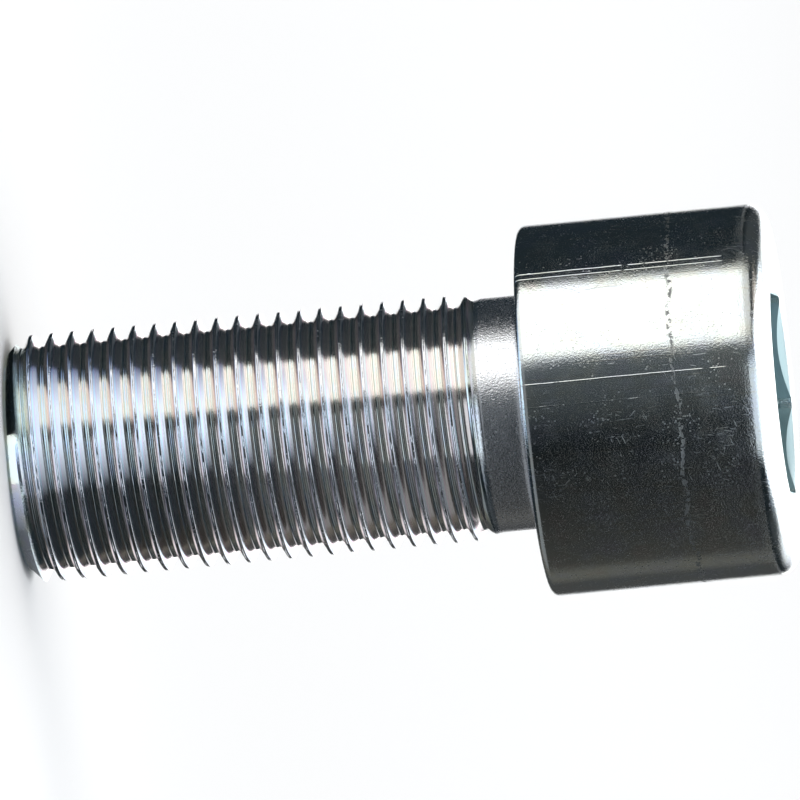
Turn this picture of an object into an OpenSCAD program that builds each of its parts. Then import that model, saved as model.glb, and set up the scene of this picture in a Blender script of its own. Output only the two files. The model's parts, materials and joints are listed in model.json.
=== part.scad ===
// Socket head cap screw with a fine right-hand thread, forged and thread-rolled in one piece.
// It would roll on its side, so it stands on the flat end of its thread, with its head up.
// +Z runs along its axis from the tip to the head, and the origin is the middle of the tip's end face.

/* [Head] */
// Diameter of the cylindrical head
head_d = 35.6; // [33:0.1:40]
// Height of the head, from the bearing face to the socket face
head_h = 23.8; // [20:0.1:30]
// Rounding of the rim at the bearing face
rim_round = 0.7; // [0.3:0.1:1.5]
// Rounding of the edge at the socket face
face_round = 2; // [0.5:0.1:3]

/* [Socket] */
// Width of the hex socket across its flats
socket_af = 19.1; // [14:0.1:21]
// Depth of the hex walls below the socket face
socket_depth = 12; // [8:0.5:14]
// Depth of the shallow cone left by the punch at the bottom of the socket
socket_point = 1.2; // [0.4:0.1:2]
// Diameter of the countersink at the mouth of the socket
mouth_d = 21.6; // [21:0.1:23]
// Included angle of the countersink at the mouth
mouth_angle = 120; // [100:5:140]
// Turn of the socket about the axis, from a corner towards +X
socket_turn = 22; // [0:1:59]

/* [Shank] */
// Length of the screw under its head
shank_length = 50; // [30:1:80]
// Length of the plain shank between the bearing face and the thread
plain_length = 4.2; // [2:0.1:8]
// Diameter of the plain shank, which is the blank that the thread was rolled on
plain_d = 22.45; // [22:0.05:22.9]
// Radius of the fillet under the head
fillet = 0.9; // [0.4:0.1:1.5]

/* [Thread] */
// Diameter over the thread crests
thread_d = 23.7; // [23.3:0.05:24]
// Diameter at the bottom of the thread grooves
root_d = 21.3; // [21:0.05:21.6]
// Pitch of the thread
pitch = 2; // [1.8:0.1:3]
// Width of the flat on top of each crest
crest_flat = 0.25; // [0.15:0.05:0.35]
// Height of the rounded bottom of each groove
root_round = 0.2; // [0.1:0.05:0.3]
// Included angle between the two flanks of a groove
flank_angle = 60; // [50:1:60]
// Turns over which the last groove runs out into the plain shank
runout_turns = 1.25; // [0.75:0.25:2.5]
// Turn of the thread's start about the axis
thread_turn = 290; // [0:1:359]
// Depth and length of the 45 degree chamfer at the tip
tip_chamfer = 1.6; // [1.2:0.1:2.2]

/* [Hidden] */
$fn = 96;
zinc = [0.66, 0.68, 0.70];

head_r = head_d / 2;
plain_r = plain_d / 2;
thread_r = thread_d / 2;
root_r = root_d / 2;
tip_r = thread_r - tip_chamfer;

// The threaded core is let into the plain shank, a hair smaller than it
core_lap = 0.3;
core_inset = 0.05;
core_r = plain_r - core_inset;
thread_length = shank_length - plain_length - core_lap;

// One pitch of the thread, as heights along the axis in shares of the pitch and as radii,
// from the middle of one groove over the crest towards the next groove
flank_run = (thread_r - root_r - root_round) * tan(flank_angle / 2) / pitch;
crest_half = crest_flat / 2 / pitch;
groove_half = 0.5 - crest_half - flank_run;
profile_share = [0, groove_half, 0.5 - crest_half, 0.5 + crest_half, 1 - groove_half];
profile_r = [root_r, root_r + root_round, thread_r, thread_r, root_r + root_round];
profile_points = len(profile_share);

// The thread is a strip one pitch wide that climbs round the core in equal steps.
// Its first and last turns are wedges, so that the strip starts and ends on a flat ring.
turn_steps = 36;
climb_steps = round(turn_steps * thread_length / pitch);
climb = thread_length / climb_steps;
last_step = climb_steps + turn_steps;

function step_angle(i) = thread_turn + 360 * i / turn_steps;
function strip_low(i) = climb * max(0, i - turn_steps);
function strip_high(i) = climb * min(i, climb_steps);
function strip_height(i, j) = strip_low(i) + (strip_high(i) - strip_low(i)) * profile_share[j];
function chamfered(r, h) = min(r, tip_r + h);
function runout(h) = min(1, (thread_length - h) / (runout_turns * pitch));
function strip_radius(j, h) = core_r + (chamfered(profile_r[j], h) - core_r) * runout(h);
function ring_point(i, r, h) = [r * cos(step_angle(i)), r * sin(step_angle(i)), h];
function strip_point(i, j) = ring_point(i, strip_radius(j, strip_height(i, j)), strip_height(i, j));

// Places of the points in the list below: the strip, the ring that ends it, and the ring let into the shank
strip_count = profile_points * (last_step - 1);
function end_ring(k) = strip_count + k % turn_steps;
function lap_ring(k) = strip_count + turn_steps + k % turn_steps;
function at(i, j) =
    i == 0 ? at(turn_steps, 0)
    : i == last_step ? end_ring(0)
    : j < profile_points ? profile_points * (i - 1) + j
    : i + turn_steps < last_step ? at(i + turn_steps, 0)
    : end_ring(i + turn_steps - last_step);

// Threaded core, from the tip at 0 up to where it is let into the plain shank
module threaded_core() {
    strip = [for (i = [1:last_step - 1]) for (j = [0:profile_points - 1]) strip_point(i, j)];
    end_points = [for (k = [0:turn_steps - 1]) ring_point(last_step + k, core_r, thread_length)];
    lap_points = [for (p = end_points) p + [0, 0, 2 * core_lap]];
    lower_sides = [
        for (i = [0:last_step - 2])
            for (j = [0:profile_points - 1])
                [at(i, j), at(i + 1, j + 1), at(i + 1, j)]
    ];
    upper_sides = [
        for (i = [1:last_step - 1])
            for (j = [0:profile_points - 1])
                [at(i, j), at(i, j + 1), at(i + 1, j + 1)]
    ];
    lap_sides = [
        for (k = [0:turn_steps - 1]) each [
            [end_ring(k), lap_ring(k), lap_ring(k + 1)],
            [end_ring(k), lap_ring(k + 1), end_ring(k + 1)]
        ]
    ];
    tip_face = [for (i = [1:turn_steps]) at(i, 0)];
    lap_face = [for (k = [0:turn_steps - 1]) lap_ring(turn_steps - 1 - k)];
    polyhedron(
        points = concat(strip, end_points, lap_points),
        faces = concat(lower_sides, upper_sides, lap_sides, [tip_face, lap_face])
    );
}

// Half section of the head, the fillet under it and the plain shank, with the bearing face at height 0
module blank_section() {
    square([head_r - face_round, head_h]);
    translate([0, rim_round]) square([head_r, head_h - rim_round - face_round]);
    square([head_r - rim_round, rim_round]);
    translate([head_r - rim_round, rim_round]) circle(rim_round);
    translate([head_r - face_round, head_h - face_round]) circle(face_round);
    translate([0, -plain_length]) square([plain_r, plain_length]);
    difference() {
        translate([0, -fillet]) square([plain_r + fillet, fillet]);
        translate([plain_r + fillet, -fillet]) circle(fillet);
    }
}

// Hex socket with the cone at its bottom and the countersink at its mouth
module socket() {
    corner_d = socket_af / cos(30);
    mouth_height = mouth_d / 2 / tan(mouth_angle / 2);
    floor_height = head_h - socket_depth;
    translate([0, 0, floor_height])
        rotate(socket_turn)
        cylinder(d = corner_d, h = 2 * socket_depth, $fn = 6);
    translate([0, 0, floor_height - socket_point]) cylinder(d1 = 0, d2 = socket_af, h = socket_point);
    translate([0, 0, head_h - mouth_height]) cylinder(d1 = 0, d2 = 2 * mouth_d, h = 2 * mouth_height);
}

module cap_screw() {
    color(zinc) {
        threaded_core();
        translate([0, 0, shank_length])
            difference() {
                rotate_extrude() blank_section();
                socket();
            }
    }
}

cap_screw();
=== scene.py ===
# %% [markdown]
# # Bright zinc cap screw
# A socket head cap screw is upset from a length of steel wire: one blow forms the cylindrical head,
# a punch drives in the hex socket, and flat dies roll the thread on the shank. The whole screw is then
# plated with zinc. The CAD frame gives its place and its outer sizes, in metres, with the tip on the
# floor and +Z along the axis.

# %% Frame and sizes
import json
import math
import random

import bmesh
import bpy
from mathutils import Matrix, Vector

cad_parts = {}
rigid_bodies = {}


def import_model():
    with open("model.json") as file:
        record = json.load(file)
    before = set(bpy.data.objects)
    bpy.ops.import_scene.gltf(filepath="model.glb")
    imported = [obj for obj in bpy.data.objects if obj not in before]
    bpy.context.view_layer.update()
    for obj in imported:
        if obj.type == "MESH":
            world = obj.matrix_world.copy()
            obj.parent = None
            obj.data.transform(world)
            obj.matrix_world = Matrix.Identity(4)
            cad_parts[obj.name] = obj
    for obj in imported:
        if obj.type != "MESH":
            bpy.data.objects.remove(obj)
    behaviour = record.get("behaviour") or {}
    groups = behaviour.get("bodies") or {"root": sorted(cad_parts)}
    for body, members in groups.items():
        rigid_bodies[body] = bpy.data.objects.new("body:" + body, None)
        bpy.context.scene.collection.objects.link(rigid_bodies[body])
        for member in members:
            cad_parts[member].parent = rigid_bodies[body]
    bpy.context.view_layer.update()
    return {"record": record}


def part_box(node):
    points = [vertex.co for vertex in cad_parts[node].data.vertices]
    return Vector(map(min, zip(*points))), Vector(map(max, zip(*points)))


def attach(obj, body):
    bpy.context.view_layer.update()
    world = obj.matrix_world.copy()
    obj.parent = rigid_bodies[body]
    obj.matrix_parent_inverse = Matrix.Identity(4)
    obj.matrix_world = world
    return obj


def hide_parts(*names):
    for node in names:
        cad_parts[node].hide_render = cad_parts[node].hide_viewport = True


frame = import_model()

MM = 0.001
mounts = {m["name"]: m for m in frame["record"]["mounts"]}
head_r = mounts["head"]["dims"]["r_mm"] * MM
bearing_z = mounts["bearing_face"]["pos_m"][2]
face_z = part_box("cap_screw")[1].z
print("head radius", round(head_r / MM, 2), "mm; bearing face at", round(bearing_z / MM, 2),
      "mm; socket face at", round(face_z / MM, 2), "mm")

# %% [markdown]
# ## The section of the thread
# A rolled metric thread has 60 degree flanks and a rounded groove, because the ridge of a rolling die is
# rounded. At the crest the metal flows up from both sides and leaves a small seam where it meets. One
# pitch of that section is worked out as a chain of heights and radii, from groove to groove.

# %% Thread section
pitch = 2.0 * MM
crest_r, root_r, plain_r = 11.85 * MM, 10.65 * MM, 11.225 * MM
groove_arc, shoulder_arc = 0.28 * MM, 0.10 * MM
seam_half, seam_deep = 0.055 * MM, 0.06 * MM
flank_slope = math.tan(math.radians(30))
arc_turn, groove_step, shoulder_step = 60, 12, 30


def half_section():
    """Heights and radii from the middle of a groove to the middle of the crest."""
    reach = groove_arc + shoulder_arc
    flank_depth = crest_r - root_r - reach / 2
    flat_half = pitch / 2 - reach * math.sin(math.radians(arc_turn)) - flank_depth * flank_slope
    groove = [(groove_arc * math.sin(a), root_r + groove_arc * (1 - math.cos(a)))
              for a in map(math.radians, range(0, arc_turn + 1, groove_step))]
    shoulder = [(pitch / 2 - flat_half - shoulder_arc * math.sin(a),
                 crest_r - shoulder_arc * (1 - math.cos(a)))
                for a in map(math.radians, range(arc_turn, -1, -shoulder_step))]
    (z0, r0), (z1, r1) = groove[-1], shoulder[0]
    seam = [(pitch / 2 - seam_half, crest_r), (pitch / 2, crest_r - seam_deep)]
    return groove + [((z0 + z1) / 2, (r0 + r1) / 2)] + shoulder + seam


half = half_section()
section = half + [(pitch - z, r) for z, r in half[-2::-1]]
print("thread section:", len(section), "points, groove", round((crest_r - root_r) / MM, 2), "mm deep")

# %% [markdown]
# A plane is stripped to one upright edge, the edge is cut into as many points as the section has, and each
# point is set beside the axis. The chain starts almost two turns below the tip, so that the first turns
# can be cut off flat. The crest phase is the height of a crest on the +X side, as in the CAD source.


# %% Drawing the section
def select_in_edit(obj, test, kind="verts"):
    """Selects the vertices, edges or faces that pass the test, in edit mode, and returns how many."""
    bpy.ops.mesh.select_mode(type={"verts": "VERT", "edges": "EDGE", "faces": "FACE"}[kind])
    bpy.ops.mesh.select_all(action="DESELECT")
    mesh = bmesh.from_edit_mesh(obj.data)
    chosen = [part for part in getattr(mesh, kind) if test(part)]
    for part in chosen:
        part.select_set(True)
    mesh.select_flush_mode()
    bmesh.update_edit_mesh(obj.data)
    return len(chosen)


crest_phase = 1.389 * MM
spare_turns = 2
start_z = crest_phase - pitch / 2 - spare_turns * pitch

bpy.ops.object.select_all(action="DESELECT")
bpy.ops.mesh.primitive_plane_add(size=pitch, rotation=(math.pi / 2, 0, 0))
screw = bpy.context.object
screw.name = "screw_body"
bpy.ops.object.transform_apply(location=True, rotation=True, scale=True)
bpy.ops.object.mode_set(mode="EDIT")
select_in_edit(screw, lambda v: v.co.x < 0)
bpy.ops.mesh.delete(type="VERT")
bpy.ops.mesh.select_all(action="SELECT")
bpy.ops.mesh.subdivide(number_cuts=len(section) - 2)
bpy.ops.object.mode_set(mode="OBJECT")
chain = sorted(screw.data.vertices, key=lambda v: v.co.z)
for v, (z, r) in zip(chain, section):
    v.co = (r, 0, start_z + z)
print("section chain:", len(chain), "points, the lowest at", round(start_z / MM, 2), "mm")

# %% [markdown]
# ## Rolling the thread
# The Screw modifier sweeps the section round the axis while it climbs one pitch a turn, which is what the
# dies do. The turns are welded, and the ends are cut flat at the tip and where the thread stops.

# %% Thread
thread_end = bearing_z - 4.2 * MM
turn_steps = 140
weld, cut_slack = 0.001 * MM, 0.0001 * MM

bpy.ops.object.modifier_add(type="SCREW")
sweep = screw.modifiers[-1]
sweep.axis = "Z"
sweep.angle = 2 * math.pi
sweep.screw_offset = pitch
sweep.iterations = math.ceil((thread_end - start_z) / pitch) + 1
sweep.steps = sweep.render_steps = turn_steps
bpy.ops.object.modifier_apply(modifier=sweep.name)

bpy.ops.object.mode_set(mode="EDIT")
bpy.ops.mesh.select_all(action="SELECT")
bpy.ops.mesh.remove_doubles(threshold=weld)
for height, side in ((0, "clear_inner"), (thread_end, "clear_outer")):
    bpy.ops.mesh.select_all(action="SELECT")
    bpy.ops.mesh.bisect(plane_co=(0, 0, height), plane_no=(0, 0, 1), threshold=cut_slack, **{side: True})
bpy.ops.object.mode_set(mode="OBJECT")
print("rolled thread:", len(screw.data.polygons), "faces")

# %% [markdown]
# Three things are then pressed into the points: the 45 degree chamfer at the tip; the run-out, where the
# last groove fades into the plain shank; and the seam along the crest, which the rolling shuts in some
# places and leaves open in others.

# %% Chamfer, run-out and seam
tip_r = crest_r - 1.6 * MM
runout = 1.25 * pitch
seam_phase = 0.01
most_shut, most_open = -0.5, 1.6


def helix_phase(c):
    """How many pitches a point lies from the middle of the nearest crest."""
    turns = (c.z - crest_phase) / pitch - math.atan2(c.y, c.x) / (2 * math.pi)
    return abs(turns - round(turns))


def limited(value):
    """The value, kept between 0 and 1."""
    return min(1, max(0, value))


closing = random.Random(24)
for v in screw.data.vertices:
    r = math.hypot(v.co.x, v.co.y)
    in_seam = abs(r - (crest_r - seam_deep)) < weld and helix_phase(v.co) < seam_phase
    shaped = crest_r - seam_deep * limited(closing.uniform(most_shut, most_open)) if in_seam else r
    shaped = min(shaped, tip_r + v.co.z)
    shaped = plain_r + (shaped - plain_r) * limited((thread_end - v.co.z) / runout)
    v.co.x *= shaped / r
    v.co.y *= shaped / r

crest_points = [v.co for v in screw.data.vertices
                if 3 * MM < v.co.z < thread_end - runout
                and math.hypot(v.co.x, v.co.y) > crest_r - 2 * weld]
off = max(map(helix_phase, crest_points))
print("thread:", len(crest_points), "crest points within", round(off, 3), "pitch of the right-hand helix")

# %% [markdown]
# ## Head and shank
# The blank is a body of revolution, so it grows from one circle at the end of the thread. The circle is
# extruded ring by ring: up the plain shank, out along the fillet and the bearing face, round the rim, up
# the head, and in over the rounded edge to the socket face.

# %% Outline of the blank
columns, side_rings = 144, 24
fillet, rim_round, face_round = 0.9 * MM, 0.7 * MM, 2.0 * MM
side_low, side_high = bearing_z + rim_round, face_z - face_round
shank_rings = [bearing_z - below * MM for below in (3.4, 2.6, 1.8, 1.2)]
bearing_rings = (13.6 * MM, 15.2 * MM, head_r - rim_round - 0.15 * MM)
face_rings = (15.5 * MM, 13.0 * MM)


def arc(centre_r, centre_z, radius, first, last, count):
    """Rings along an arc of the outline; angles in degrees, 0 outwards and 90 upwards."""
    turns = [math.radians(first + (last - first) * i / count) for i in range(count + 1)]
    return [(centre_r + radius * math.cos(a), centre_z + radius * math.sin(a)) for a in turns]


outline = [(plain_r, z) for z in shank_rings]
outline += arc(plain_r + fillet, bearing_z - fillet, fillet, 180, 90, 8)
outline += [(r, bearing_z) for r in bearing_rings]
outline += arc(head_r - rim_round, bearing_z + rim_round, rim_round, -90, 0, 7)
outline += [(head_r, side_low + (side_high - side_low) * i / side_rings) for i in range(1, side_rings)]
outline += arc(head_r - face_round, side_high, face_round, 0, 90, 14)
outline += [(r, face_z) for r in face_rings]
print("outline of the blank:", len(outline), "rings")

# %% [markdown]
# Each ring is the one before it, extruded and then scaled to its radius. The first circle sits a hair
# above the end of the thread, which leaves room for the join, and the last one is closed with a flat face.

# %% Head and shank
join_gap = 0.05 * MM
ring_r, ring_z = plain_r, thread_end + join_gap
bpy.ops.object.select_all(action="DESELECT")
bpy.ops.mesh.primitive_circle_add(vertices=columns, radius=ring_r, location=(0, 0, ring_z))
blank = bpy.context.object
bpy.ops.object.transform_apply(location=True, rotation=True, scale=True)
bpy.ops.object.mode_set(mode="EDIT")
bpy.ops.mesh.select_all(action="SELECT")
for r, z in outline:
    bpy.ops.mesh.extrude_edges_move(TRANSFORM_OT_translate={"value": (0, 0, z - ring_z)})
    bpy.ops.transform.resize(value=(r / ring_r, r / ring_r, 1), center_override=(0, 0, z))
    ring_r, ring_z = r, z
bpy.ops.mesh.edge_face_add()
bpy.ops.object.mode_set(mode="OBJECT")
print("blank:", len(blank.data.polygons), "faces, in rings of", columns, "points")

# %% [markdown]
# ## One body
# On the real screw the thread is rolled into the shank of the blank, so the two are one body. Here the
# open edge of the thread is bridged to the first circle of the blank, and the hole that is left at the
# tip is closed with a flat face.


# %% Joining the thread and the blank
def at_join(edge):
    """True for an open edge where the thread meets the blank."""
    return edge.is_boundary and all(abs(v.co.z - thread_end) < 4 * join_gap for v in edge.verts)


bpy.ops.object.select_all(action="DESELECT")
screw.select_set(True)
blank.select_set(True)
bpy.context.view_layer.objects.active = screw
bpy.ops.object.join()
bpy.ops.object.mode_set(mode="EDIT")
select_in_edit(screw, at_join, "edges")
bpy.ops.mesh.bridge_edge_loops()
select_in_edit(screw, lambda e: e.is_boundary, "edges")
bpy.ops.mesh.edge_face_add()
bpy.ops.mesh.select_all(action="SELECT")
bpy.ops.mesh.normals_make_consistent(inside=False)
bpy.ops.object.mode_set(mode="OBJECT")
print("joined body:", len(screw.data.polygons), "faces")

# %% [markdown]
# ## The hex socket
# A hex punch makes the socket in one stroke. Its corners are slightly rounded and it leaves a shallow cone
# at the bottom. The punch is modelled as a six-sided cylinder, turned as the socket stands in the photo.

# %% Punch
socket_af, socket_deep, punch_point = 19.1 * MM, 12.0 * MM, 1.2 * MM
socket_turn, corner_round = math.radians(22), 0.35 * MM
corner_r = socket_af / 2 / math.cos(math.radians(30))
punch_top, punch_low = face_z + 3 * MM, face_z - socket_deep

bpy.ops.object.select_all(action="DESELECT")
bpy.ops.mesh.primitive_cylinder_add(vertices=6, radius=corner_r, depth=punch_top - punch_low,
                                    location=(0, 0, (punch_top + punch_low) / 2))
punch = bpy.context.object
bpy.ops.object.transform_apply(location=True, rotation=True, scale=True)
corner = max((v.co for v in punch.data.vertices), key=lambda c: c.x)
punch.data.transform(Matrix.Rotation(socket_turn - math.atan2(corner.y, corner.x), 4, "Z"))
bpy.ops.object.mode_set(mode="EDIT")
select_in_edit(punch, lambda e: abs(e.verts[0].co.z - e.verts[1].co.z) > MM, "edges")
bpy.ops.mesh.bevel(offset=corner_round, segments=3, affect="EDGES")
select_in_edit(punch, lambda f: f.normal.z < -0.9, "faces")
bpy.ops.mesh.poke()
select_in_edit(punch, lambda v: v.co.z < face_z and math.hypot(v.co.x, v.co.y) < 0.1 * MM)
bpy.ops.transform.translate(value=(0, 0, -punch_point))
bpy.ops.object.mode_set(mode="OBJECT")
print("punch:", round(socket_af / MM, 2), "mm across flats,", round(socket_deep / MM, 2), "mm deep")

# %% [markdown]
# A 120 degree countersink at the mouth guides the key in. Its tool is a cone that stands on its point and
# is as wide as the mouth where it passes through the face.

# %% Countersink
mouth_r = 10.8 * MM
cone_rise = mouth_r / math.tan(math.radians(60))
bpy.ops.object.select_all(action="DESELECT")
bpy.ops.mesh.primitive_cone_add(vertices=columns, radius1=0, radius2=2 * mouth_r, depth=2 * cone_rise,
                                location=(0, 0, face_z))
countersink = bpy.context.object
bpy.ops.object.transform_apply(location=True, rotation=True, scale=True)
print("countersink:", round(2 * mouth_r / MM, 2), "mm across at the face")

# %% [markdown]
# Both tools are cut out of the head with Boolean modifiers. Doubled points are merged, open edges are
# counted, and every edge sharper than 38 degrees stays a crisp edge in the shading.

# %% Cutting the socket
for tool in (punch, countersink):
    bpy.context.view_layer.objects.active = screw
    bpy.ops.object.modifier_add(type="BOOLEAN")
    cut = screw.modifiers[-1]
    cut.operation = "DIFFERENCE"
    cut.solver = "EXACT"
    cut.object = tool
    bpy.ops.object.modifier_apply(modifier=cut.name)
    bpy.data.objects.remove(tool)

bpy.ops.object.select_all(action="DESELECT")
screw.select_set(True)
bpy.context.view_layer.objects.active = screw
bpy.ops.object.mode_set(mode="EDIT")
bpy.ops.mesh.select_all(action="SELECT")
bpy.ops.mesh.remove_doubles(threshold=weld)
loose = select_in_edit(screw, lambda e: not e.is_manifold, "edges")
bpy.ops.object.mode_set(mode="OBJECT")
bpy.ops.object.shade_smooth_by_angle(angle=math.radians(38))
print("screw:", len(screw.data.polygons), "faces,", loose, "open edges")

# %% [markdown]
# ## Marks for the finish
# The plating looks different on each side of the thread, so the mesh carries three values of its own: how
# far a point looks towards the head or the tip, how near it is to a crest, and whether it lies in the seam
# along the middle of a crest, where the colour gets painted shade. The seam is found by its place on the
# helix.

# %% Attributes
thread_low, thread_high = 1.7 * MM, thread_end - 0.5 * MM
crest_deep = 0.6 * MM
facing = screw.data.attributes.new("facing", "FLOAT", "POINT")
crests = screw.data.attributes.new("crest", "FLOAT", "POINT")
seams = screw.data.attributes.new("seam", "FLOAT", "POINT")
seam_points = 0
for i, v in enumerate(screw.data.vertices):
    r = math.hypot(v.co.x, v.co.y)
    on_thread = thread_low < v.co.z < thread_high and r > root_r - 0.1 * MM
    in_seam = on_thread and helix_phase(v.co) < seam_phase
    facing.data[i].value = v.normal.z if on_thread else 0.0
    crests.data[i].value = max(0, 1 - (crest_r - r) / crest_deep) if on_thread else 0.0
    seams.data[i].value = 1.0 if in_seam else 0.0
    seam_points += in_seam
print("finish marks on", len(screw.data.vertices), "points,", seam_points, "of them in the crest seam")

# %% [markdown]
# ## Zinc plating
# The plating is a thin bright metal with fine grain, a faint colour play, lines drawn along the head by
# the forging die, and scratches from handling. Each effect is a node group that can be used again. A small
# helper adds the nodes, so that the cells below read like sums.


# %% Node helpers
class Tree:
    """Adds nodes and links to one node tree."""

    def __init__(self, tree):
        self.tree = tree

    def add(self, kind, settings=None, **sockets):
        """A node with its settings; a socket is fed by its name, or by its number as i0, i1 and so on."""
        node = self.tree.nodes.new(kind)
        for key, value in (settings or {}).items():
            setattr(node, key, value)
        for key, value in sockets.items():
            numbered = key[0] == "i" and key[1:].isdigit()
            self.feed(node.inputs[int(key[1:]) if numbered else key], value)
        return node

    def feed(self, socket, value):
        """Links an output to a socket, or sets the socket to a plain value."""
        if isinstance(value, bpy.types.NodeSocket):
            self.tree.links.new(value, socket)
        else:
            socket.default_value = value

    def math(self, operation, a, b=0.0, c=0.0):
        return self.add("ShaderNodeMath", {"operation": operation}, i0=a, i1=b, i2=c).outputs[0]

    def ramp(self, value, low, high, to_low=0.0, to_high=1.0):
        """A smooth step from one result to the other while the value goes from low to high."""
        smooth = {"interpolation_type": "SMOOTHSTEP"}
        node = self.add("ShaderNodeMapRange", smooth, i0=value, i1=low, i2=high, i3=to_low, i4=to_high)
        return node.outputs[0]

    def noise(self, vector, scale, detail=2.0, roughness=0.5):
        node = self.add("ShaderNodeTexNoise", None, Vector=vector, Scale=scale, Detail=detail,
                        Roughness=roughness)
        return node.outputs[0]

    def mix(self, factor, a, b):
        """A colour between a and b; the numbers are the colour sockets of the Mix node."""
        return self.add("ShaderNodeMix", {"data_type": "RGBA"}, i0=factor, i6=a, i7=b).outputs[2]

    def place(self):
        """Object position, and its height, radius and angle round the axis."""
        here = self.add("ShaderNodeTexCoord").outputs["Object"]
        x, y, z = self.add("ShaderNodeSeparateXYZ", None, Vector=here).outputs
        squares = self.math("ADD", self.math("MULTIPLY", x, x), self.math("MULTIPLY", y, y))
        return here, z, self.math("SQRT", squares), self.math("ARCTAN2", y, x)

    def stretched(self, vector, across, along):
        """The vector in units that are across wide round the axis and along long up it."""
        spread = self.add("ShaderNodeCombineXYZ", None, X=across, Y=across, Z=along).outputs[0]
        return self.add("ShaderNodeVectorMath", {"operation": "MULTIPLY"}, i0=vector, i1=spread).outputs[0]


def new_group(name, inputs, outputs):
    """A shader group with float inputs (name: default) and outputs (name: float or colour)."""
    group = bpy.data.node_groups.new(name, "ShaderNodeTree")
    for label, value in inputs.items():
        made = group.interface.new_socket(name=label, in_out="INPUT", socket_type="NodeSocketFloat")
        made.default_value = value
    for label, kind in outputs.items():
        group.interface.new_socket(name=label, in_out="OUTPUT", socket_type=kind)
    return group, Tree(group)


# %% [markdown]
# The grain is the crystal texture of the zinc, about a sixth of a millimetre across. It breaks the edge of
# every highlight into specks. Specks are a few cells of a Voronoi pattern, chosen by the random colour of
# each cell, and more of them are chosen where a slow noise is high.

# %% Grain group
grain_group, g = new_group("plating_grain", {"Size": 0.16 * MM, "Pull": 0.8},
                           {"Height": "NodeSocketFloat", "Specks": "NodeSocketFloat"})
here, *_ = g.place()
inputs = g.add("NodeGroupInput").outputs
scale = g.math("DIVIDE", 1.0, inputs["Size"])
pulled = g.stretched(here, scale, g.math("MULTIPLY", scale, inputs["Pull"]))
clusters = g.ramp(g.noise(here, 260.0, 3.0, 0.6), 0.42, 0.72)
cells = g.add("ShaderNodeTexVoronoi", {"feature": "F1"}, Vector=pulled, Scale=0.9).outputs
chance = g.add("ShaderNodeSeparateColor", None, Color=cells["Color"]).outputs[0]
limit = g.math("MULTIPLY_ADD", clusters, -0.30, 0.985)
chosen = g.ramp(chance, limit, g.math("ADD", limit, 0.04))
dots = g.ramp(cells["Distance"], 0.60, 0.25)
out = g.add("NodeGroupOutput").inputs
g.feed(out["Height"], g.noise(pulled, 1.0, 2.0, 0.6))
g.feed(out["Specks"], g.math("MULTIPLY", chosen, dots))
print("plating_grain:", len(grain_group.nodes), "nodes")

# %% [markdown]
# The die draws fine lines along the head as the blank is ejected. They are a noise pulled out along the
# axis, kept only where it peaks.

# %% Streak group
streak_group, g = new_group("draw_lines", {"Width": 0.22 * MM, "Length": 14 * MM, "Share": 0.56},
                            {"Lines": "NodeSocketFloat"})
here, *_ = g.place()
inputs = g.add("NodeGroupInput").outputs
across = g.math("DIVIDE", 1.0, inputs["Width"])
along = g.math("DIVIDE", 1.0, inputs["Length"])
lines = g.noise(g.stretched(here, across, along), 1.0, 2.0, 0.6)
g.feed(g.add("NodeGroupOutput").inputs["Lines"],
       g.ramp(lines, inputs["Share"], g.math("ADD", inputs["Share"], 0.12)))
print("draw_lines:", len(streak_group.nodes), "nodes")

# %% [markdown]
# Passivated zinc has a film thin enough to colour the light: patches lean to brown, green and blue. The
# film is a slow noise read through a short colour ramp, and mixed with the grey of the bare zinc.

# %% Colour film group
bare_zinc = (0.78, 0.79, 0.80, 1)
film_colours = ((0.30, (0.84, 0.79, 0.72, 1)), (0.44, (0.74, 0.83, 0.74, 1)),
                (0.56, (0.70, 0.82, 0.86, 1)), (0.70, (0.68, 0.74, 0.90, 1)))
film_group, g = new_group("colour_film", {"Patch": 3.4 * MM, "Amount": 0.75}, {"Color": "NodeSocketColor"})
here, *_ = g.place()
inputs = g.add("NodeGroupInput").outputs
patches = g.noise(here, g.math("DIVIDE", 1.0, inputs["Patch"]), 3.0, 0.6)
ramp = g.add("ShaderNodeValToRGB", None, Fac=patches)
stops = ramp.color_ramp.elements
stops[0].position, stops[1].position = film_colours[0][0], film_colours[-1][0]
stops[0].color, stops[1].color = film_colours[0][1], film_colours[-1][1]
for position, colour in film_colours[1:-1]:
    stops.new(position).color = colour
g.feed(g.add("NodeGroupOutput").inputs["Color"], g.mix(inputs["Amount"], bare_zinc, ramp.outputs[0]))
print("colour_film:", len(stops), "colours")

# %% [markdown]
# Screws rub against each other in the bin. Their short scratches are a noise drawn out in one direction on
# the unrolled side of the head; a few directions together look random.

# %% Scratch group
scratch_group, g = new_group("bin_scratches",
                             {"Lean": 0.35, "Width": 0.10 * MM, "Length": 1.8 * MM, "Share": 0.71},
                             {"Marks": "NodeSocketFloat"})
here, z, radius, angle = g.place()
inputs = g.add("NodeGroupInput").outputs
round_way = g.math("MULTIPLY", angle, head_r)
lean_c, lean_s = g.math("COSINE", inputs["Lean"]), g.math("SINE", inputs["Lean"])
along = g.math("ADD", g.math("MULTIPLY", round_way, lean_c), g.math("MULTIPLY", z, lean_s))
across = g.math("SUBTRACT", g.math("MULTIPLY", z, lean_c), g.math("MULTIPLY", round_way, lean_s))
flat = g.add("ShaderNodeCombineXYZ", None, X=g.math("DIVIDE", along, inputs["Length"]),
             Y=g.math("DIVIDE", across, inputs["Width"]), Z=inputs["Lean"]).outputs[0]
g.feed(g.add("NodeGroupOutput").inputs["Marks"],
       g.ramp(g.noise(flat, 1.0, 1.0, 0.5), inputs["Share"], g.math("ADD", inputs["Share"], 0.08)))
print("bin_scratches:", len(scratch_group.nodes), "nodes")

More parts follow.
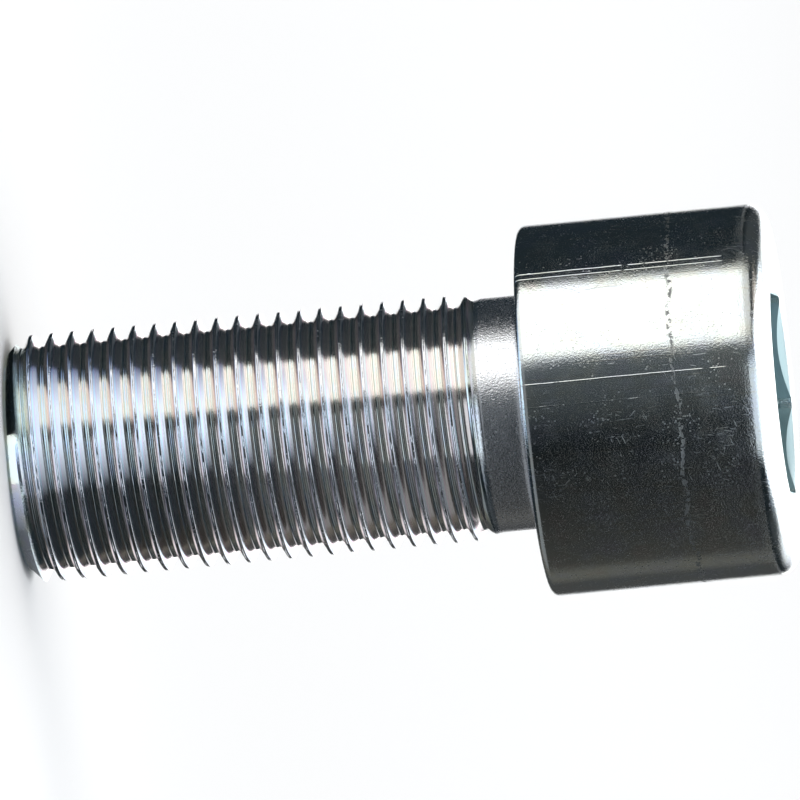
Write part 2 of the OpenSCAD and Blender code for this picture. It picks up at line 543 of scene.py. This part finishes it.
# %% [markdown]
# ## Where each finish lies
# One material covers the screw, as one bath of zinc does. Masks by height and radius tell it where it is:
# on the head or its side, on the plain shank, on the tip's chamfer, on the rounded edge, or in the socket.

# %% Plating masks
plating = bpy.data.materials.new("zinc_plating")
plating.use_nodes = True
t = Tree(plating.node_tree)
here, z, radius, angle = t.place()
on_head = t.ramp(z, bearing_z - 0.2 * MM, bearing_z + 0.3 * MM)
on_blank = t.ramp(z, thread_end - 1.0 * MM, thread_end)
on_shank = t.math("SUBTRACT", on_blank, on_head)
on_tip = t.ramp(z, 1.9 * MM, 1.4 * MM)
on_edge = t.ramp(z, face_z - 3.2 * MM, face_z - 1.2 * MM)
inside = t.ramp(radius, mouth_r, mouth_r - 0.05 * MM)
in_socket = t.math("MULTIPLY", inside, t.ramp(z, punch_low - 2 * MM, punch_low))
in_socket = t.math("MULTIPLY", in_socket, t.ramp(z, face_z - 0.01 * MM, face_z - 0.1 * MM))
head_side = t.math("SUBTRACT", on_head, in_socket)
on_side = t.math("MULTIPLY", on_head, t.ramp(radius, head_r - 1.4 * MM, head_r - 0.7 * MM))
print("masks: thread up to", round(thread_end / MM, 1), "mm, head from", round(bearing_z / MM, 1), "mm")

# %% [markdown]
# The groups are placed in the material with their own sizes. The scratches run in four directions, and a
# slow noise keeps most of them to a few rubbed patches on the side of the head.


# %% Grain, lines and scratches
def use(tree, group, **values):
    """The outputs of a group that is placed in the tree with these values."""
    return tree.add("ShaderNodeGroup", {"node_tree": group}, **values).outputs


grain = use(t, grain_group, Size=0.16 * MM, Pull=0.8)
lines = use(t, streak_group, Width=0.22 * MM, Length=14 * MM, Share=0.56)["Lines"]
film = use(t, film_group, Patch=3.4 * MM, Amount=t.math("MULTIPLY_ADD", on_head, -0.35, 0.75))["Color"]
directions = ((0.35, 1.8, 0.71), (1.35, 1.5, 0.70), (-0.8, 1.4, 0.72), (1.62, 2.6, 0.69))
marks = [use(t, scratch_group, Lean=lean, Width=0.10 * MM, Length=length * MM, Share=share)["Marks"]
         for lean, length, share in directions]
scuffs = t.math("ADD", t.math("ADD", marks[0], marks[1]), t.math("ADD", marks[2], marks[3]))
scuffs = t.math("MINIMUM", scuffs, 1.0)
rubbed = t.ramp(t.noise(here, 170.0, 2.0, 0.6), 0.42, 0.62, 0.05, 1.0)
scuffs = t.math("MULTIPLY", t.math("MULTIPLY", scuffs, rubbed), on_side)
hazy = t.math("MULTIPLY", t.ramp(t.noise(here, 420.0, 4.0, 0.65), 0.46, 0.66), on_side)
print("scratches in", len(directions), "directions")

# %% [markdown]
# The photo shows two kinds of long marks on the head. A pair of fine ridges and two fainter ones run along
# it, as a worn die leaves them, and a ragged dark line runs round it, as where two parts of a die meet. A
# ridge is a pulse at one angle, and the ragged line is a pulse at one height that a noise breaks up.


# %% Ridges and die mark
def pulse(tree, value, centre, half):
    """1 where the value is at the centre, 0 from half away on."""
    return tree.ramp(tree.math("ABSOLUTE", tree.math("SUBTRACT", value, centre)), half, half * 0.2)


def total(tree, *terms):
    """The sum of (amount, value) pairs."""
    result = 0.0
    for amount, value in terms:
        result = tree.math("MULTIPLY_ADD", value, amount, result)
    return result


ridge_rows = ((-137.3, 0.007, 1.0), (-135.1, 0.006, 1.0), (-98.2, 0.005, 0.5), (-91.2, 0.004, 0.3))
straying = t.math("MULTIPLY_ADD", t.math("SUBTRACT", t.noise(here, 300.0, 2.0), 0.5), 0.008, angle)
ridges = total(t, *((share, pulse(t, straying, math.radians(turn), half))
                    for turn, half, share in ridge_rows))
unbroken = t.ramp(t.noise(here, 700.0, 2.0, 0.6), 0.30, 0.44, 0.1, 1.0)
ridge_end = t.ramp(z, face_z - 3.6 * MM, face_z - 4.6 * MM)
ridges = t.math("MULTIPLY", t.math("MULTIPLY", ridges, unbroken), t.math("MULTIPLY", head_side, ridge_end))

mark_height, mark_half = bearing_z + 14.7 * MM, 0.30 * MM
wobble = t.math("MULTIPLY", t.math("SUBTRACT", t.noise(here, 240.0, 3.0), 0.5), 2.0 * MM)
mark_gate = t.ramp(t.noise(here, 2000.0, 2.0, 0.7), 0.45, 0.58)
die_mark = pulse(t, t.math("ADD", z, wobble), mark_height, mark_half)
die_mark = t.math("MULTIPLY", t.math("MULTIPLY", die_mark, mark_gate), head_side)
print("ridges along the head:", len(ridge_rows), "and a die mark", round((mark_height - bearing_z) / MM, 1),
      "mm up it")

# %% [markdown]
# ## Colours
# On the thread the film is thicker and its colour changes with the depth in the groove. The flank that
# looks to the tip goes from cream to pink and pale blue at the crest, and the one that looks to the head
# from pink to blue and violet. The crown of the crest is rubbed bare. The seam in it is darkened as painted
# shade of the crease.

# %% Tints
facing_of, crest_of, seam_of = (t.add("ShaderNodeAttribute", {"attribute_name": name}).outputs["Fac"]
                                for name in ("facing", "crest", "seam"))
to_head, to_tip = t.ramp(facing_of, 0.2, 0.8), t.ramp(facing_of, -0.2, -0.8)
crown = t.ramp(crest_of, 0.85, 1.0)
seam_gaps = t.ramp(t.noise(here, 1900.0, 2.0, 0.7), 0.45, 0.56)
# mask of the crest seam, broken into dashes, for painted shade in its crease
seam = t.math("MULTIPLY", t.ramp(seam_of, 0.35, 0.85), seam_gaps)

cream, rose, ice = (0.96, 0.97, 0.90, 1), (1.0, 0.905, 0.88, 1), (0.92, 0.95, 1.0, 1)
tip_tint = t.mix(t.ramp(crest_of, 0.1, 0.5), cream, rose)
tip_tint = t.mix(t.ramp(crest_of, 0.48, 0.70), tip_tint, ice)
blush, pink = (0.98, 0.88, 0.89, 1), (1.0, 0.76, 0.87, 1)
sky, violet = (0.84, 0.95, 1.0, 1), (0.86, 0.88, 1.0, 1)
head_tint = t.mix(t.ramp(crest_of, 0.28, 0.60), pink, sky)
head_tint = t.mix(t.ramp(crest_of, 0.10, 0.28), blush, head_tint)
head_tint = t.mix(t.ramp(crest_of, 0.60, 0.95), head_tint, violet)

drawn = t.math("MULTIPLY", t.math("MULTIPLY", lines, on_side), 0.35)
layers = ((to_head, head_tint), (to_tip, tip_tint),
          (crown, (0.95, 0.96, 1.0, 1)),
          (on_shank, (0.92, 0.94, 0.98, 1)),
          # painted shade: the socket walls are a darker teal, as the recess would look in shade
          (in_socket, (0.44, 0.60, 0.63, 1)),
          (drawn, (0.66, 0.61, 0.50, 1)),
          (t.math("MULTIPLY", die_mark, 0.85), (0.24, 0.25, 0.25, 1)),
          # painted shade: the crest seam is darkened as if its crease lay in shade
          (seam, (0.24, 0.24, 0.25, 1)))
colour = film
for share, tint in layers:
    colour = t.mix(share, colour, tint)
print("tints over the film:", len(layers), "layers")

# %% [markdown]
# ## Sheen and relief
# Bright zinc is nearly a mirror, so its roughness starts low and rises where the surface is scratched,
# specked or less well plated. The relief is in millimetres: grain everywhere, deeper on the blank, the tip
# and the shank, with the lines, ridges, scratches, specks and die mark on top of it.

# %% Sheen and relief
marred = t.math("MULTIPLY", grain["Specks"], t.math("ADD", 0.3, total(t, (0.7, on_blank), (0.7, crown))))
rough = t.math("ADD", 0.12, total(t, (0.22, marred), (0.05, hazy), (0.05, to_head), (0.20, in_socket),
                                  (0.45, die_mark), (0.24, scuffs), (0.12, on_shank), (0.12, on_tip),
                                  (0.03, crown)))
grain_deep = t.math("ADD", 0.002, total(t, (0.0075, on_blank), (0.030, on_tip), (0.010, on_edge),
                                        (0.024, on_shank), (0.010, crown)))
relief = t.math("ADD", t.math("MULTIPLY", grain["Height"], grain_deep),
                total(t, (0.0008, t.math("MULTIPLY", lines, head_side)), (0.030, ridges), (0.002, scuffs),
                      (0.002, t.math("MULTIPLY", grain["Specks"], on_blank)), (-0.003, die_mark)))
bump = t.add("ShaderNodeBump", None, Strength=1.0, Distance=MM, Height=relief)
surface = plating.node_tree.nodes["Principled BSDF"].inputs
for socket, value in (("Base Color", colour), ("Metallic", 1.0), ("Roughness", rough),
                      ("Normal", bump.outputs[0])):
    t.feed(surface[socket], value)
print("zinc_plating:", len(plating.node_tree.nodes), "nodes")

# %% [markdown]
# The finished screw gets its plating, rides on the one body of the frame, and takes the place of the CAD
# node.

# %% Screw in the frame
screw.data.materials.clear()
screw.data.materials.append(plating)
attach(screw, "root")
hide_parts("cap_screw")
print("screw_body:", len(screw.data.vertices), "points, in place of cap_screw")

# %% [markdown]
# ## Table
# The screw is pictured on a pale matt table, wide enough to fill the picture from any side.


# %% Floor
def plain_material(name, colour):
    """A matt paint without a sheen."""
    made = bpy.data.materials.new(name)
    made.use_nodes = True
    sockets = made.node_tree.nodes["Principled BSDF"].inputs
    sockets["Base Color"].default_value = (*colour, 1)
    sockets["Roughness"].default_value = 0.9
    sockets["Specular IOR Level"].default_value = 0.0
    return made


bpy.ops.object.select_all(action="DESELECT")
bpy.ops.mesh.primitive_plane_add(size=40, location=(0, 0, 0))
floor = bpy.context.object
floor.name = "floor"
floor.data.materials.append(plain_material("pale_table", (0.93, 0.93, 0.93)))
print("floor:", floor.dimensions.x, "m wide")

# %% [markdown]
# ## Cards
# A bright cylinder shows everything round it, so a photographer lays dark cards about it. These are slices
# of a ring, on the table or standing on it, and their colour may change from one end to the other. Only
# reflections show them: the camera, the table's light and its shadows don't.

# %% Card helpers
card_step, card_lift = 6, 0.1 * MM


def compass(turn, distance, height=0.0):
    """A point round the screw; 0 degrees is towards the camera and 90 towards -X, the picture's top."""
    a = math.radians(turn)
    return Vector((-distance * math.sin(a), -distance * math.cos(a), height))


def card_turns(first, last):
    """Compass angles from one end of a card to the other, about six degrees apart."""
    steps = max(2, int((last - first) / card_step))
    return [first + (last - first) * i / steps for i in range(steps + 1)]


def card_material(name, first, last, colours, glow):
    """Matt card that goes from one colour to the other between two compass angles, and may glow."""
    made = plain_material(name, colours[0])
    c = Tree(made.node_tree)
    spot = c.add("ShaderNodeTexCoord").outputs["Object"]
    x, y, _ = c.add("ShaderNodeSeparateXYZ", None, Vector=spot).outputs
    turn = c.math("ARCTAN2", c.math("MULTIPLY", x, -1.0), c.math("MULTIPLY", y, -1.0))
    ends = {"i1": math.radians(first), "i2": math.radians(last)}
    share = c.add("ShaderNodeMapRange", None, i0=turn, **ends).outputs[0]
    shade = c.mix(share, (*colours[0], 1), (*colours[-1], 1))
    sockets = made.node_tree.nodes["Principled BSDF"].inputs
    for socket, value in (("Base Color", shade), ("Emission Color", shade), ("Emission Strength", glow)):
        c.feed(sockets[socket], value)
    return made


def show_card(name, corners, faces, material):
    """Puts a card into the studio that only reflections show."""
    mesh = bpy.data.meshes.new(name)
    mesh.from_pydata([tuple(c) for c in corners], [], faces)
    mesh.materials.append(material)
    card = bpy.data.objects.new(name, mesh)
    bpy.context.collection.objects.link(card)
    card.visible_camera = card.visible_diffuse = card.visible_shadow = False


def lay_card(name, first, last, inner, outer, *colours, glow=0.0):
    """A pie-shaped card on the table."""
    turns = card_turns(first, last)
    corners = [compass(a, inner, card_lift) for a in turns]
    corners += [compass(a, outer, card_lift) for a in reversed(turns)]
    show_card(name, corners, [list(range(len(corners)))], card_material(name, first, last, colours, glow))


def stand_card(name, first, last, away, tall, *colours):
    """A low curved card that stands on the table."""
    turns = card_turns(first, last)
    corners = [compass(a, away, z) for a in turns for z in (2 * card_lift, tall)]
    faces = [[2 * i, 2 * i + 2, 2 * i + 3, 2 * i + 1] for i in range(len(turns) - 1)]
    show_card(name, corners, faces, card_material(name, first, last, colours, 0.0))


# %% [markdown]
# What a part of the screw shows depends on how steeply it looks down. The side of the head and the crests
# look level, and show the far cards. Between two of them is a gap for the strip light, which draws the one
# clear highlight. The roundings of the thread show the grey ring, and a low collar before the ring keeps
# it out of the lowest crests.

# %% Far cards, ring and collar
strip_first, strip_last = 31.5, 80.5
near, collar, ring, far = 14 * MM, 45 * MM, 195 * MM, 4.0
collar_tall = 13 * MM
dark, black, grey = (0.015, 0.022, 0.027), (0.006, 0.009, 0.011), (0.13, 0.145, 0.15)
brown, umber, slate = (0.12, 0.117, 0.105), (0.055, 0.054, 0.050), (0.06, 0.062, 0.062)
lay_card("ring_card", -117, strip_first, collar, ring, (0.20, 0.21, 0.22))
lay_card("front_fade_card", -20, strip_first, ring, far, black, grey)
lay_card("front_card", -117, -20, ring, far, umber, black)
stand_card("front_fade_collar", -20, strip_first, collar, collar_tall, black, grey)
stand_card("front_collar", -117, -20, collar, collar_tall, umber, black)
lay_card("brown_card", -133, -117, collar, far, brown)
lay_card("right_card", -165, -133, collar, far, slate)
lay_card("left_card", strip_last, 165, collar, far, dark)
print("gap for the strip light:", strip_last - strip_first, "degrees")

# %% [markdown]
# The flanks that look to the tip show what lies close to the screw. The photo has pale blue there, which
# fades to dark on both sides, so three of the near cards glow in that blue. The chamfer of the tip shows
# only the table right beside it, where four small cards lie, and three of those glow as well.

# %% Near cards
pale_blue, slate_blue = (0.66, 0.82, 1.0), (0.09, 0.12, 0.22)
lay_card("right_near_card", -165, -28, near, collar, dark)
lay_card("middle_near_card", -28, 12, near, collar, dark, pale_blue, glow=0.55)
lay_card("front_near_card", 12, 40, near, collar, pale_blue, glow=0.55)
lay_card("strip_near_card", 40, 84, near, collar, pale_blue, slate_blue, glow=0.55)
lay_card("left_near_card", 84, 165, near, collar, dark)

tip_inner = 10.5 * MM
pale, ash, mauve = (0.95, 0.95, 0.97), (0.16, 0.16, 0.17), (0.56, 0.54, 0.66)
lay_card("tip_dark_card", 14, 100, tip_inner, near, dark)
lay_card("tip_pale_card", -12, 14, tip_inner, near, pale, glow=0.8)
lay_card("tip_mauve_card", -40, -12, tip_inner, near, ash, mauve, glow=0.8)
lay_card("tip_ash_card", -100, -40, tip_inner, near, ash, glow=0.6)

# %% [markdown]
# ## Light
# The strip light fills the gap between the cards. A wide light over the table keeps it white, and
# reflections don't show it. The light behind is what the socket face shows, because the camera sees that
# face nearly edge-on. Two small lights over the head are for its rounded edge.


# %% Light
def panel(name, place, target, width, tall, radiance, colour):
    """A soft rectangular light of the given brightness, turned to its target."""
    lamp = bpy.data.lights.new(name, "AREA")
    lamp.shape = "RECTANGLE"
    lamp.size, lamp.size_y = width, tall
    lamp.energy = math.pi * width * tall * radiance
    lamp.color = colour
    held = bpy.data.objects.new(name, lamp)
    bpy.context.collection.objects.link(held)
    held.location = place
    held.rotation_euler = (target - place).to_track_quat("-Z", "Y").to_euler()
    held.visible_camera = False
    return held


white, warm_white = (1.0, 1.0, 1.0), (1.0, 0.97, 0.91)
cool_white, blue_white = (0.92, 0.95, 1.0), (0.84, 0.91, 1.0)
strip_away, strip_tall = 160 * MM, 150 * MM
strip_wide = 2 * strip_away * math.tan(math.radians((strip_last - strip_first) / 2))
strip_place = compass((strip_first + strip_last) / 2, strip_away, strip_tall / 2)
panel("strip_light", strip_place, Vector((0, 0, strip_tall / 2)), strip_wide, strip_tall, 0.84, warm_white)
table_light = panel("table_light", Vector((0, 0.75, 1.8)), Vector((0, 0.75, 0)), 3.0, 3.0, 1.44, white)
table_light.visible_glossy = False
back_light = panel("back_light", compass(180, 1.6, 0.42), Vector((0, 0, 0.42)), 0.8, 0.8, 2.2, white)
back_light.visible_diffuse = False
top_place, top_target = Vector((0.005, -0.017, 0.092)), Vector((0.005, -0.017, 0.07))
panel("top_light", top_place, top_target, 0.056, 0.042, 1.8, cool_white)
front_place, front_target = Vector((0.016, -0.10, 0.110)), Vector((0, 0, 0.074))
panel("front_light", front_place, front_target, 0.115, 0.075, 0.9, blue_white)
print("strip light:", round(strip_wide / MM), "by", round(strip_tall / MM), "mm")

# %% [markdown]
# The room round the screw is nearly black, so that the dark reflections stay deep. It has four soft
# patches: a dim one at the sides and behind, from a little above the table up; a white one high up behind,
# which lights the table and which the flanks towards the head show; a pale band in front; and a warm one
# above the strip light, for the roundings of the thread. The dim one is mixed in before the white one,
# which has to stay bright.


# %% Room
def sine(degrees):
    return math.sin(math.radians(degrees))


def between(value, start, full, last_full, end):
    """1 between the two inner limits, fading to 0 at the two outer ones."""
    return w.math("MULTIPLY", w.ramp(value, start, full), w.ramp(value, end, last_full))


world = bpy.data.worlds.new("studio")
bpy.context.scene.world = world
world.use_nodes = True
w = Tree(world.node_tree)
way = w.add("ShaderNodeTexCoord").outputs["Generated"]
x, y, rise = w.add("ShaderNodeSeparateXYZ", None, Vector=way).outputs
turn = w.math("ARCTAN2", w.math("MULTIPLY", x, -1.0), w.math("MULTIPLY", y, -1.0))

aside = w.ramp(w.math("ABSOLUTE", turn), math.radians(78), math.radians(95))
sides = w.math("MULTIPLY", aside, w.ramp(rise, sine(4), sine(14)))
fill_way = Vector((0.25, 0.62, 0.74)).normalized()
behind = w.add("ShaderNodeVectorMath", {"operation": "DOT_PRODUCT"}, i0=way, i1=fill_way).outputs["Value"]
fill = w.ramp(behind, math.cos(math.radians(42)), math.cos(math.radians(22)))
band = w.math("MULTIPLY", between(rise, sine(26), sine(32), sine(40), sine(46)),
              between(turn, *map(math.radians, (-115, -65, 5, 20))))
warm = w.math("MULTIPLY", between(rise, sine(40), sine(46), sine(60), sine(66)),
              between(turn, *map(math.radians, (36, 44, 98, 108))))

shade = (0.012, 0.017, 0.020, 1)
for share, tint in ((sides, (0.050, 0.057, 0.062, 1)), (fill, (1.4, 1.43, 1.46, 1)),
                    (band, (0.42, 0.47, 0.54, 1)), (warm, (0.80, 0.70, 0.62, 1))):
    shade = w.mix(share, shade, tint)
w.feed(world.node_tree.nodes["Background"].inputs["Color"], shade)
print("room:", len(world.node_tree.nodes), "nodes")

# %% [markdown]
# ## Camera
# The photo was taken with a long lens from a little above the level of the head's face. In it the screw
# lies on its side, and here it stands on its tip, so the camera is rolled by almost a quarter turn. The
# picture's middle is set from the centre of the bearing face, to the left along the picture and a little up.

# %% Camera
roll, tilt = math.radians(84.55), math.radians(5.12)
away, shift_right, shift_up = 1.435, -13.0 * MM, 1.08 * MM
level_right, level_up = Vector((1, 0, 0)), Vector((0, math.sin(tilt), math.cos(tilt)))
right = math.cos(roll) * level_right + math.sin(roll) * level_up
up = -math.sin(roll) * level_right + math.cos(roll) * level_up
back = Vector((0, -math.cos(tilt), math.sin(tilt)))
lens = bpy.data.cameras.new("camera")
lens.lens, lens.sensor_width = 675, 36
lens.clip_start, lens.clip_end = 0.05, 60
camera = bpy.data.objects.new("camera", lens)
bpy.context.collection.objects.link(camera)
spot = Vector((0, 0, bearing_z)) + shift_right * right + shift_up * up + away * back
camera.matrix_world = Matrix.Translation(spot) @ Matrix((right, up, back)).transposed().to_4x4()
bpy.context.scene.camera = camera
bpy.context.scene.view_settings.view_transform = "Standard"
print("camera:", round(away, 3), "m away, rolled", round(math.degrees(roll), 2), "degrees")
